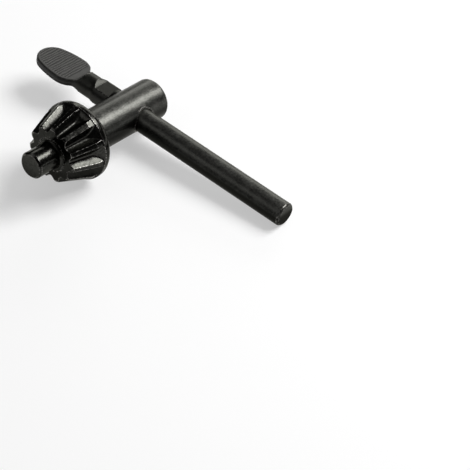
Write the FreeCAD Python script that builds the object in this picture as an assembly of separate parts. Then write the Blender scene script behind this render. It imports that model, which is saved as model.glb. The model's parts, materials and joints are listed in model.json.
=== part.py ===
"""Drill chuck key: a turned and toothed key body with a cross bar pressed through it.

Working frame: the body axis is X with the pilot tip towards +X, the bar axis is Y with the
plain end towards +Y and the thumb paddle towards -Y, and both axes cross at the origin.
The finished solids are then laid down the way the key comes to rest on a table.
All lengths are in millimetres and all angles in degrees.
"""
import FreeCAD
import Part
import math
import os

# Pilot
pilot_d = 9.0
pilot_tip_x = 45.6
pilot_chamfer = 0.6
pilot_root_fillet = 0.9

# Bevel pinion
tooth_count = 11
tooth_phase = -3.0
front_face_x = 36.4
crest_front_r = 9.6
crest_front_chamfer = 0.4
root_front_r = 7.8
land_angle = 8.0
root_gap_angle = 5.0
runout_start_x = 29.0

# Rim behind the teeth
rim_d = 26.6
rim_front_x = 25.6
rim_back_x = 22.8
rim_back_chamfer = 0.8
rim_step = 0.4
land_band_length = 2.0
runout_land = 0.3

# Shank and cross hole
shank_d = 14.0
shank_rear_x = -11.8
shank_rear_round = 1.2
collar_chamfer = 0.8
hole_edge_break = 0.3

# Cross bar
bar_d = 8.0
bar_end_y = 66.7
bar_end_chamfer = 0.6
press_clearance = 0.0

# Staking flats beside the body, on the paddle side
flat_height = 3.1
flat_start_y = -12.7
flat_ramp_length = 1.6
stake_spread = 0.42
stake_taper_length = 2.8
stake_gap = 0.1

# Thumb paddle
paddle_thickness = 2.8
paddle_offset = -0.42
paddle_edge_round = 0.6
paddle_neck_r = 7.0
paddle_neck_y = -27.25
paddle_tip_r = 5.95
paddle_tip_centre_y = -34.4
paddle_root_fillet = 2.0
tongue_half_width = 4.0
tongue_end_half_width = 3.5
tongue_end_y = -17.5
ramp_foot_y = -22.6
ramp_radius = 3.5

# Ribs on both faces of the paddle
rib_pitch = 1.0
rib_depth = 0.3
rib_groove_width = 0.7
rib_first_y = -24.0
rib_count = 16
rib_panel_inset = 0.8

# Sizes that follow from the ones above
pilot_r = pilot_d / 2
rim_r = rim_d / 2
shank_r = shank_d / 2
bar_r = bar_d / 2
hole_r = bar_r + press_clearance
half_thickness = paddle_thickness / 2
crest_slope = (rim_r - crest_front_r) / (front_face_x - rim_front_x)
band_front_x = rim_front_x + land_band_length
band_front_r = crest_front_r + crest_slope * (front_face_x - band_front_x)
apex_x = front_face_x + crest_front_r / crest_slope
root_slope = root_front_r / (apex_x - front_face_x)
runout_start_r = root_slope * (apex_x - runout_start_x)
margin = 1.0

X_AXIS = FreeCAD.Vector(1, 0, 0)
Y_AXIS = FreeCAD.Vector(0, 1, 0)
Z_AXIS = FreeCAD.Vector(0, 0, 1)
ORIGIN = FreeCAD.Vector(0, 0, 0)


def profile_point(x, r):
    """Point of a turned profile, drawn in the XZ plane."""
    return FreeCAD.Vector(x, 0, r)


def line(start, end):
    """Straight edge between two points."""
    return Part.LineSegment(start, end).toShape()


def arc(start, middle, end):
    """Circular edge through three points."""
    return Part.Arc(start, middle, end).toShape()


def corner_arc(centre, radius, from_angle, to_angle):
    """Arc in the XZ plane about a centre, given by its two end angles."""
    def at(angle):
        turn = math.radians(angle)
        return centre + FreeCAD.Vector(math.cos(turn), 0, math.sin(turn)) * radius
    return arc(at(from_angle), at((from_angle + to_angle) / 2), at(to_angle))


def revolve(edges):
    """Solid of revolution about the body axis from a closed profile."""
    face = Part.Face(Part.Wire(Part.__sortEdges__(edges)))
    return face.revolve(ORIGIN, X_AXIS, 360)


def turned_blank():
    """Key body before the teeth are cut and the cross hole is drilled."""
    rear_inner_r = shank_r - shank_rear_round
    rear_centre = profile_point(shank_rear_x + shank_rear_round, rear_inner_r)
    root_centre = profile_point(front_face_x + pilot_root_fillet, pilot_r + pilot_root_fillet)
    chamfer_back_x = front_face_x - crest_front_chamfer
    chamfer_back_r = crest_front_r + crest_front_chamfer * crest_slope
    points = {
        "rear_axis": profile_point(shank_rear_x, 0),
        "rear_face": profile_point(shank_rear_x, rear_inner_r),
        "shank_back": profile_point(shank_rear_x + shank_rear_round, shank_r),
        "shank_front": profile_point(rim_back_x - collar_chamfer, shank_r),
        "collar": profile_point(rim_back_x, shank_r + collar_chamfer),
        "rim_back": profile_point(rim_back_x, rim_r - rim_back_chamfer),
        "rim_top": profile_point(rim_back_x + rim_back_chamfer, rim_r),
        "rim_front": profile_point(rim_front_x, rim_r),
        "band_back": profile_point(rim_front_x, rim_r - rim_step),
        "band_front": profile_point(band_front_x, band_front_r),
        "crest_front": profile_point(chamfer_back_x, chamfer_back_r),
        "face_outer": profile_point(front_face_x, crest_front_r - crest_front_chamfer),
        "face_inner": profile_point(front_face_x, pilot_r + pilot_root_fillet),
        "pilot_root": profile_point(front_face_x + pilot_root_fillet, pilot_r),
        "pilot_front": profile_point(pilot_tip_x - pilot_chamfer, pilot_r),
        "tip_face": profile_point(pilot_tip_x, pilot_r - pilot_chamfer),
        "tip_axis": profile_point(pilot_tip_x, 0),
    }
    edges = [
        line(points["rear_axis"], points["rear_face"]),
        corner_arc(rear_centre, shank_rear_round, 180, 90),
        line(points["shank_back"], points["shank_front"]),
        line(points["shank_front"], points["collar"]),
        line(points["collar"], points["rim_back"]),
        line(points["rim_back"], points["rim_top"]),
        line(points["rim_top"], points["rim_front"]),
        line(points["rim_front"], points["band_back"]),
        line(points["band_back"], points["band_front"]),
        line(points["band_front"], points["crest_front"]),
        line(points["crest_front"], points["face_outer"]),
        line(points["face_outer"], points["face_inner"]),
        corner_arc(root_centre, pilot_root_fillet, 180, 270),
        line(points["pilot_root"], points["pilot_front"]),
        line(points["pilot_front"], points["tip_face"]),
        line(points["tip_face"], points["tip_axis"]),
        line(points["tip_axis"], points["rear_axis"]),
    ]
    return revolve(edges)


def runout_arc_middle(start, end):
    """Middle of the run-out arc that leaves the root cone tangentially at its start."""
    chord = end - start
    tangent = FreeCAD.Vector(-1, 0, root_slope).normalize()
    turn = math.atan2(chord.z, -chord.x) - math.atan2(tangent.z, -tangent.x)
    sagitta = chord.Length / 2 * math.tan(turn / 2)
    normal = FreeCAD.Vector(chord.z, 0, -chord.x).normalize()
    if normal.z > 0:
        normal = normal * -1
    return start + chord * 0.5 + normal * sagitta


def gullet_floor():
    """Slab over one gullet's floor: straight along the root cone, then a hollow run-out."""
    front_x = front_face_x + margin
    start = profile_point(runout_start_x, runout_start_r)
    end = profile_point(rim_front_x - runout_land, rim_r)
    front = profile_point(front_x, root_slope * (apex_x - front_x))
    outer_r = rim_r + margin
    edges = [
        line(front, start),
        arc(start, runout_arc_middle(start, end), end),
        line(end, profile_point(end.x, outer_r)),
        line(profile_point(end.x, outer_r), profile_point(front_x, outer_r)),
        line(profile_point(front_x, outer_r), front),
    ]
    slab = Part.Face(Part.Wire(edges)).extrude(Y_AXIS * rim_d)
    slab.translate(Y_AXIS * -rim_r)
    return slab


def gullet_wedge():
    """Wedge between the two facing flanks of one gullet, tapering to the pitch apex."""
    crest_half = math.radians((360 / tooth_count - land_angle) / 2)
    root_half = math.radians(root_gap_angle / 2)
    crest = (crest_front_r * math.sin(crest_half), crest_front_r * math.cos(crest_half))
    root = (root_front_r * math.sin(root_half), root_front_r * math.cos(root_half))
    flank_lean = (crest[0] - root[0]) / (crest[1] - root[1])
    low_z = root_front_r - root[0] / flank_lean
    high_z = crest_front_r + margin
    low_half = root[0] + (low_z - root[1]) * flank_lean
    high_half = root[0] + (high_z - root[1]) * flank_lean

    def section(x):
        scale = (apex_x - x) / (apex_x - front_face_x)
        return [
            FreeCAD.Vector(x, -low_half * scale, low_z * scale),
            FreeCAD.Vector(x, low_half * scale, low_z * scale),
            FreeCAD.Vector(x, high_half * scale, high_z * scale),
            FreeCAD.Vector(x, -high_half * scale, high_z * scale),
        ]

    return flat_sided(section(front_face_x + margin), section(rim_back_x))


def flat_sided(front, back):
    """Solid with flat sides between two similar polygons."""
    faces = [polygon_face(front), polygon_face(back)]
    for index in range(len(front)):
        after = (index + 1) % len(front)
        faces.append(polygon_face([front[index], front[after], back[after], back[index]]))
    return Part.Solid(Part.Shell(faces))


def polygon_face(corners):
    """Flat face on a closed polygon."""
    return Part.Face(Part.makePolygon(corners + corners[:1]))


def key_body():
    """Key body with its gullets and the cross hole with broken edges."""
    pitch = 360 / tooth_count
    gullet = gullet_floor().common(gullet_wedge())
    gullets = []
    for index in range(tooth_count):
        tooth_angle = tooth_phase + pitch * (index + 0.5)
        cutter = gullet.copy()
        cutter.rotate(ORIGIN, X_AXIS, tooth_angle - 90)
        gullets.append(cutter)
    body = turned_blank().cut(gullets)
    hole = Part.makeCylinder(hole_r, 2 * rim_d, FreeCAD.Vector(0, -rim_d, 0), Y_AXIS)
    body = body.cut(hole)
    mouths = [edge for edge in body.Edges if is_hole_mouth(edge)]
    return body.makeChamfer(hole_edge_break, mouths)


def is_hole_mouth(edge):
    """True for an edge where the cross hole leaves the shank."""
    box = edge.BoundBox
    inside = max(abs(box.XMin), abs(box.XMax)) < hole_r + margin
    outside_bore = min(abs(box.YMin), abs(box.YMax)) > hole_r
    return inside and outside_bore


def ramp_cutter(side):
    """Removes the round bar over the paddle and leaves a hollow ramp up to the bar."""
    face_z = half_thickness
    top_z = bar_r + margin
    centre_z = face_z + ramp_radius
    reach = math.sqrt(ramp_radius ** 2 - (centre_z - top_z) ** 2)
    half_reach = ramp_radius * math.sin(math.asin(reach / ramp_radius) / 2)
    half_drop = math.sqrt(ramp_radius ** 2 - half_reach ** 2)

    def at(y, z):
        return FreeCAD.Vector(-bar_d, y, side * z)

    far_y = ramp_foot_y - bar_d
    edges = [
        line(at(far_y, face_z), at(ramp_foot_y, face_z)),
        arc(at(ramp_foot_y, face_z),
            at(ramp_foot_y + half_reach, centre_z - half_drop),
            at(ramp_foot_y + reach, top_z)),
        line(at(ramp_foot_y + reach, top_z), at(far_y, top_z)),
        line(at(far_y, top_z), at(far_y, face_z)),
    ]
    face = Part.Face(Part.Wire(edges))
    return face.extrude(X_AXIS * (2 * bar_d))


def flat_cutter(side):
    """Removes the crown of the bar over a staking flat, with a sloping start."""
    top_z = bar_r + stake_spread + margin
    slope = (bar_r - flat_height) / flat_ramp_length
    start_y = flat_start_y - (top_z - flat_height) / slope
    end_y = -shank_r + margin
    corners = [
        FreeCAD.Vector(-bar_d, start_y, side * top_z),
        FreeCAD.Vector(-bar_d, flat_start_y, side * flat_height),
        FreeCAD.Vector(-bar_d, end_y, side * flat_height),
        FreeCAD.Vector(-bar_d, end_y, side * top_z),
    ]
    return polygon_face(corners).extrude(X_AXIS * (2 * bar_d))


def stake_swell():
    """Bar swollen sideways where it is flattened against the body."""
    end_y = -shank_r - stake_gap
    start_y = flat_start_y - stake_taper_length
    swell_r = bar_r + stake_spread
    straight = Part.makeCylinder(swell_r, end_y - flat_start_y,
                                 FreeCAD.Vector(0, flat_start_y, 0), Y_AXIS)
    taper = Part.makeCone(bar_r, swell_r, flat_start_y - start_y,
                          FreeCAD.Vector(0, start_y, 0), Y_AXIS)
    return straight.fuse(taper)


def paddle_outline(inset):
    """Edges around the paddle's tip and sides, drawn inset by a distance from its edge."""
    neck_r = paddle_neck_r - inset
    tip_r = paddle_tip_r - inset
    span = paddle_neck_y - paddle_tip_centre_y
    side_r = (span ** 2 + neck_r ** 2 - tip_r ** 2) / (2 * (neck_r - tip_r))
    side_turn = math.atan2(span, side_r - neck_r)
    neck_centre = FreeCAD.Vector(paddle_offset, paddle_neck_y, 0)
    tip_centre = FreeCAD.Vector(paddle_offset, paddle_tip_centre_y, 0)
    tangent = tip_centre + FreeCAD.Vector(math.cos(side_turn), -math.sin(side_turn), 0) * tip_r
    side_centre = neck_centre + X_AXIS * (neck_r - side_r)
    half = side_turn / 2
    side_middle = side_centre + FreeCAD.Vector(math.cos(half), -math.sin(half), 0) * side_r
    widest = neck_centre + X_AXIS * neck_r
    tip = tip_centre - Y_AXIS * tip_r
    edges = [
        arc(mirrored(tangent), tip, tangent),
        arc(tangent, side_middle, widest),
        arc(mirrored(tangent), mirrored(side_middle), mirrored(widest)),
    ]
    return edges, widest, neck_centre, neck_r


def mirrored(point):
    """Point mirrored across the paddle's own middle plane."""
    return FreeCAD.Vector(2 * paddle_offset - point.x, point.y, point.z)


def closed_prism(edges, low_z, high_z):
    """Upright prism over a closed outline in the XY plane."""
    wire = Part.Wire(Part.__sortEdges__(edges))
    face = Part.Face(wire)
    prism = face.extrude(Z_AXIS * (high_z - low_z))
    prism.translate(Z_AXIS * low_z)
    return prism


def paddle_plate():
    """Flat forged plate of the paddle with a tongue that runs into the round bar."""
    edges, widest, neck_centre, neck_r = paddle_outline(0)
    for side in (1, -1):
        edges.extend(neck_edges(side, neck_centre, neck_r))
    ends = [FreeCAD.Vector(side * tongue_end_half_width, tongue_end_y, 0) for side in (1, -1)]
    edges.append(line(*ends))
    plate = closed_prism(edges, -half_thickness, half_thickness)
    rounded = [edge for edge in plate.Edges if is_plate_rim(edge)]
    return plate.makeFillet(paddle_edge_round, rounded)


def neck_edges(side, neck_centre, neck_r):
    """Edges from the paddle's widest point round its hollow root and along the tongue."""
    blend = paddle_root_fillet
    across = tongue_half_width + blend
    rise = math.sqrt((neck_r + blend) ** 2 - (across - side * paddle_offset) ** 2)
    blend_centre = FreeCAD.Vector(side * across, paddle_neck_y + rise, 0)
    towards = (blend_centre - neck_centre).normalize()
    joint = neck_centre + towards * neck_r
    half_turn = math.atan2(towards.y, side * towards.x) / 2
    outward = FreeCAD.Vector(side * math.cos(half_turn), math.sin(half_turn), 0)
    foot = FreeCAD.Vector(side * tongue_half_width, blend_centre.y, 0)
    bisector = ((joint - blend_centre).normalize() - X_AXIS * side).normalize()
    end = FreeCAD.Vector(side * tongue_end_half_width, tongue_end_y, 0)
    return [
        arc(neck_centre + X_AXIS * side * neck_r, neck_centre + outward * neck_r, joint),
        arc(joint, blend_centre + bisector * blend, foot),
        line(foot, end),
    ]


def is_plate_rim(edge):
    """True for an edge around the top or bottom face of the plate, the tongue left out."""
    box = edge.BoundBox
    level = box.ZLength < paddle_edge_round / 2
    outside_tongue = box.YMin < ramp_foot_y + paddle_root_fillet / 2
    return level and outside_tongue and box.XLength < 2 * paddle_neck_r


def rib_grooves(side):
    """Row of V grooves across one face, kept inside a panel that follows the outline."""
    edges, widest, neck_centre, neck_r = paddle_outline(rib_panel_inset)
    crown = neck_centre + Y_AXIS * neck_r
    edges.append(arc(widest, neck_centre + (Y_AXIS + X_AXIS).normalize() * neck_r, crown))
    edges.append(arc(mirrored(widest), neck_centre + (Y_AXIS - X_AXIS).normalize() * neck_r, crown))
    panel = closed_prism(edges, -bar_r, bar_r)
    floor_z = half_thickness - rib_depth
    top_z = half_thickness + margin
    top_half = rib_groove_width / 2 * (top_z - floor_z) / rib_depth
    grooves = []
    for index in range(rib_count):
        y = rib_first_y - rib_pitch * index
        corners = [
            FreeCAD.Vector(-bar_d, y, side * floor_z),
            FreeCAD.Vector(-bar_d, y + top_half, side * top_z),
            FreeCAD.Vector(-bar_d, y - top_half, side * top_z),
        ]
        groove = polygon_face(corners).extrude(X_AXIS * (2 * bar_d))
        grooves.append(groove.common(panel))
    return grooves


def cross_bar():
    """Cross bar with chamfered end, staking flats, neck and ribbed thumb paddle."""
    start_y = ramp_foot_y - margin
    rod = Part.makeCylinder(bar_r, bar_end_y - start_y, FreeCAD.Vector(0, start_y, 0), Y_AXIS)
    end_edge = [edge for edge in rod.Edges if edge.BoundBox.YMin > bar_end_y - margin]
    rod = rod.makeChamfer(bar_end_chamfer, end_edge)
    rod = rod.fuse(stake_swell())
    cutters = []
    for side in (1, -1):
        cutters.append(ramp_cutter(side))
        cutters.append(flat_cutter(side))
    rod = rod.cut(cutters)
    bar = rod.fuse(paddle_plate())
    bar = bar.cut(rib_grooves(1) + rib_grooves(-1))
    return bar.removeSplitter()


def resting_rotation():
    """Turn from the working frame to the table, for a key lying on three points.

    The rounded rear edge of the shank, the rim and the plain end of the bar touch the table.
    Each touches with a circle or a ring, so its lowest point has a closed formula.
    """
    rim_x = rim_back_x + rim_back_chamfer
    rear_x = shank_rear_x + shank_rear_round
    rear_ring_r = shank_r - shank_rear_round
    along = rim_x - rear_x
    across = rim_r - rear_ring_r
    pitch = math.atan2(across, along) - math.asin(shank_rear_round / math.hypot(along, across))
    table = rim_x * math.sin(pitch) - rim_r * math.cos(pitch)
    contact_y = bar_end_y - bar_end_chamfer
    reach = math.hypot(contact_y, bar_r)
    dip = math.asin(table / reach) + math.atan2(bar_r, contact_y)
    up_x = math.sin(pitch)
    up_y = math.sin(dip)
    up = FreeCAD.Vector(up_x, up_y, math.sqrt(1 - up_x ** 2 - up_y ** 2))
    ahead = (Y_AXIS - up * up.y).normalize()
    side = ahead.cross(up)
    return FreeCAD.Rotation(side, ahead, up, "ZYX").inverted()


def main():
    """Build both pieces, lay them down and write one file for each."""
    pieces = {"key_body": key_body(), "cross_bar": cross_bar()}
    turn = resting_rotation()
    for shape in pieces.values():
        shape.Placement = FreeCAD.Placement(ORIGIN, turn)
    box = Part.makeCompound(list(pieces.values())).optimalBoundingBox(False)
    shift = FreeCAD.Vector(-box.Center.x, -box.Center.y, -box.ZMin)
    os.makedirs("parts", exist_ok=True)
    for name, shape in pieces.items():
        shape.translate(shift)
        shape.exportStep(os.path.join("parts", name + ".step"))


main()
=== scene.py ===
"""Looks of a drill chuck key that lies on a pale table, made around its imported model.

Key axes: x runs along the turned body towards the pilot's tip, y along the cross bar towards
its plain end, and both cross at the origin. Every surface is worked out in these axes and
then placed in the frame by the pilot's mount. Lengths are in metres and angles in radians.
"""

import json
import math

import bmesh
import bpy
import numpy as np
from bpy.props import FloatProperty, FloatVectorProperty, IntProperty, PointerProperty
from mathutils import Color, Matrix, Vector


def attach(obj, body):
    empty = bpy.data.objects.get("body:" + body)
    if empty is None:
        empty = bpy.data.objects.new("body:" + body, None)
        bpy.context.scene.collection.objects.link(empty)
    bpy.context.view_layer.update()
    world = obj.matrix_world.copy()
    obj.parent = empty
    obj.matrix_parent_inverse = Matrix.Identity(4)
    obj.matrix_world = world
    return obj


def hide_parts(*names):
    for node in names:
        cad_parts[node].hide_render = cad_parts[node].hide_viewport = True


bl_info = {
    "name": "Drill Chuck Key",
    "version": (1, 0, 0),
    "blender": (4, 5, 0),
    "location": "View3D > Sidebar > Chuck Key",
    "description": "Builds a blackened drill chuck key and the pale table that it lies on",
    "category": "Object",
}

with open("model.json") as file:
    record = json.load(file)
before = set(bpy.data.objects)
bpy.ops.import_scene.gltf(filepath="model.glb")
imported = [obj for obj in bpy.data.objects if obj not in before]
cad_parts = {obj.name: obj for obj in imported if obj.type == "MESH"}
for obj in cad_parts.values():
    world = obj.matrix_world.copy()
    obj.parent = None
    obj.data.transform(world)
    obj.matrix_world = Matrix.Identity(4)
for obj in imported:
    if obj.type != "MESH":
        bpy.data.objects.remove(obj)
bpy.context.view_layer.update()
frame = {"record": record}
pilot_mount = frame["record"]["mounts"][0]

MM = 0.001
FULL_TURN = 2 * math.pi
WELD_DISTANCE = 0.002 * MM
EDGE_LAYER = "edge_sharpness"

# Fineness of the turned body: steps of a small arc, columns over half a tooth, how many of
# them meet one column of the shank, and rows on the raised lip.
ARC_STEPS = 5
COLUMNS_PER_HALF_PITCH = 24
FINE_PER_COARSE = 4
LIP_ROWS = 8

# Near a tooth's edges the columns are this much denser, over this angle.
EDGE_DENSITY = 6
EDGE_REACH = math.radians(0.7)

# Rows of the teeth before the run-out, and distances between rows elsewhere.
TOOTH_ROWS = 14
RUNOUT_SPACING = 0.14 * MM
PILOT_SPACING = 1.5 * MM
SHANK_SPACING = MM
END_SPACING = 0.8 * MM

# Steps of a quarter of the bar's section: over the paddle's face, round its edge and down
# its side.
QUARTER_TOP = 24
QUARTER_CORNER = 6
QUARTER_SIDE = 5

# Sections along each part of the bar, and along each rib.
SECTIONS = {"tip": 30, "rib": 8, "ramp": 22, "neck": 8, "stake": 44, "inside": 12,
            "straight": 48}

# Waves that a rib strays by: share of the waver, radians per metre across and along, start.
RIB_WAVES = ((1.0, 420, 900, 0.0), (0.7, 930, -1500, 1.3), (0.5, 160, 2300, 0.4))

# Waves in a rib's depth: radians per metre across, and from rib to rib.
DEPTH_WAVES = ((700, 2.4), (250, 5.1))
DEPTH_CHANGE = 0.2

# Noises of the steel: features per metre, detail and roughness.
MOTTLE = {
    "Swell": (300.0, 1.0, 0.4),
    "Patch": (320.0, 4.0, 0.6),
    "Fleck": (1500.0, 4.0, 0.7),
    "Grain": (4200.0, 3.0, 0.65),
}
WEAR = (1500.0, 5.0, 0.7)
LINES = (1.0, 4.0, 0.6)

# Noise values over which each mask rises, and the patches' share in the shank's mottle.
PATCH_RISE = (0.4, 0.68)
FLECK_RISE = (0.36, 0.64)
PINION_FLECK_RISE = (0.36, 0.58)
WEAR_RISE = (0.42, 0.66)
PATCH_PART = 0.4

# Bends, in radians per millimetre, over which an edge comes to be rubbed.
RUBBED_RISE = (0.5, 2.5)

# Tool lines per metre along the key's axes: rings round the body, lines along the bar, and
# lines across its sawn end.
TURNED = (4200.0, 90.0, 90.0)
DRAWN = (3600.0, 70.0, 3600.0)
SAWN = (1500.0, 400.0, 500.0)

# Lamps: bearing and height in degrees, distance and size in metres, and the setting that
# holds the power.
LAMPS = (
    ("key_lamp", 148, 49, 0.9, (0.52, 0.42), "key_power"),
    ("core_lamp_0", 127, 46, 0.85, (0.15, 0.13), "core_power"),
    ("core_lamp_1", 154, 36, 0.85, (0.15, 0.13), "core_power"),
    ("core_lamp_2", 160, 61, 0.85, (0.15, 0.13), "core_power"),
    ("top_lamp", 134, 80, 1.0, (0.9, 0.9), "top_power"),
    ("fill_lamp", -38, 40, 0.9, (0.55, 0.40), "fill_power"),
    ("wall_lamp", -155, 17, 1.2, (0.9, 0.45), "wall_power"),
)


def length(name, description, default):
    """Property that holds one length or place along an axis, in metres."""
    return FloatProperty(name=name, description=description, default=default,
                         unit="LENGTH", precision=5)


def angle(name, description, degrees):
    """Property that holds one angle, with its default given in degrees."""
    return FloatProperty(name=name, description=description, default=math.radians(degrees),
                         unit="ROTATION", subtype="ANGLE")


def power(name, description, default):
    """Property that holds a lamp's power in watts."""
    return FloatProperty(name=name, description=description, default=default,
                         min=0, unit="POWER")


def share(name, description, default):
    """Property that holds a plain factor from nought to one."""
    return FloatProperty(name=name, description=description, default=default,
                         min=0, max=1, subtype="FACTOR")


def colour(name, description, default):
    """Property that holds one linear colour."""
    return FloatVectorProperty(name=name, description=description, default=default,
                               size=3, min=0, max=1, subtype="COLOR")


class KeyBodySizes(bpy.types.PropertyGroup):
    """Sizes of the turned body, its places measured along it from the cross bar's axis."""

    pilot_radius: length("Pilot radius", "Radius of the round pilot",
                         pilot_mount["dims"]["r_mm"] * MM)
    pilot_tip: length("Pilot tip", "Place of the pilot's end face", 0.0456)
    pilot_chamfer: length("Pilot chamfer", "Chamfer at the pilot's tip", 0.0006)
    pilot_root_fillet: length("Pilot root fillet", "Hollow round where the pilot starts", 0.0009)
    tooth_count: IntProperty(name="Teeth", description="Number of pinion teeth",
                             default=11, min=3)
    tooth_phase: angle("Tooth phase", "Turn of the first tooth from the bar's axis", -3)
    land_angle: angle("Land angle", "Angle that a tooth's land takes up", 8)
    root_gap_angle: angle("Root gap angle", "Angle that a gullet's floor takes up", 5)
    front_face: length("Front face", "Place of the pinion's front face", 0.0364)
    crest_front_radius: length("Crest radius", "Radius over the teeth at the front", 0.0096)
    crest_front_chamfer: length("Crest chamfer", "Chamfer at the teeth's front", 0.0004)
    root_front_radius: length("Root radius", "Radius of the gullets' floor at the front", 0.0078)
    flank_hollow: length("Flank hollow", "Depth of the hollow in the flanks", 0.00012)
    runout_start: length("Run-out start", "Place where the gullets start to run out", 0.029)
    runout_land: length("Run-out land", "Distance that the gullets run into the rim", 0.0003)
    rim_radius: length("Rim radius", "Radius of the rim behind the teeth", 0.0133)
    rim_front: length("Rim front", "Place of the rim's front edge", 0.0256)
    rim_back: length("Rim back", "Place of the rim's flat back", 0.0228)
    rim_back_chamfer: length("Rim chamfer", "Chamfer at the rim's back", 0.0008)
    rim_crown: length("Rim crown", "Radius that rounds the rim towards its back", 0.0022)
    rim_step: length("Rim step", "Height of the rim over the teeth's rear ends", 0.0004)
    land_band: length("Land band", "Length of the flatter rear end of each land", 0.002)
    collar_chamfer: length("Collar chamfer", "Slope between the shank and the rim", 0.0008)
    shank_radius: length("Shank radius", "Radius of the shank", 0.007)
    shank_rear: length("Shank rear", "Place of the shank's rear face", -0.0118)
    shank_rear_round: length("Shank rear round", "Round of the shank's rear edge", 0.0012)
    hole_edge_break: length("Hole edge break", "Chamfer round the cross hole", 0.0003)
    lip_height: length("Lip height", "Height of the lip raised round the cross hole", 0.00006)
    lip_width: length("Lip width", "Width of the lip raised round the cross hole", 0.0005)
    edge_radius: length("Edge radius", "Radius left on turned and milled edges", 0.00014)


class CrossBarSizes(bpy.types.PropertyGroup):
    """Sizes of the cross bar, its places measured along it from the body's axis."""

    bar_radius: length("Bar radius", "Radius of the round bar", 0.004)
    bar_end: length("Bar end", "Place of the bar's plain end", 0.0667)
    end_chamfer: length("End chamfer", "Chamfer at the plain end", 0.0006)
    end_round: length("End round", "Rounding of the end chamfer's edges", 0.0006)
    flat_height: length("Flat height", "Height of the staking flats", 0.0031)
    flat_start: length("Flat start", "Place where the flats reach their height", -0.0127)
    flat_ramp: length("Flat ramp", "Length of the slope up from the flats", 0.0016)
    stake_spread: length("Stake spread", "Swelling of the flattened bar's radius", 0.00042)
    stake_taper: length("Stake taper", "Length over which the bar swells", 0.0028)
    stake_end: length("Stake end", "Place where the flats meet the body", -0.0071)
    thickness: length("Paddle thickness", "Thickness of the thumb paddle", 0.0028)
    edge_round: length("Paddle edge round", "Round of the paddle's edge", 0.0006)
    neck_radius: length("Neck radius", "Half of the paddle's width", 0.007)
    neck_place: length("Neck place", "Place where the paddle is widest", -0.02725)
    tip_radius: length("Tip radius", "Radius of the paddle's tip", 0.00595)
    tip_place: length("Tip place", "Place of the centre of the tip's arc", -0.0344)
    offset: length("Paddle offset", "Place of the paddle's middle beside the bar's axis", -0.00042)
    root_fillet: length("Root fillet", "Hollow round from the bar to the paddle", 0.002)
    tongue: length("Tongue", "Half width of the bar's flattened start", 0.004)
    ramp_foot: length("Ramp foot", "Place where the paddle's face starts to rise", -0.0226)
    ramp_radius: length("Ramp radius", "Radius of the hollow rise to the bar", 0.0035)
    rib_pitch: length("Rib pitch", "Distance from rib to rib", 0.001)
    rib_depth: length("Rib depth", "Depth of the grooves between the ribs", 0.0003)
    rib_groove: length("Groove width", "Width of a groove at the paddle's face", 0.0007)
    rib_first: length("First groove", "Place of the groove next to the bar", -0.024)
    rib_count: IntProperty(name="Grooves", description="Number of grooves on each face",
                           default=16, min=1)
    rib_inset: length("Rib inset", "Plain border round the ribs", 0.0008)
    rib_waver: length("Rib waver", "How far the ribs stray from straight", 0.0002)
    edge_radius: length("Edge radius", "Radius left on the flats' edges", 0.0002)


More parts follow.
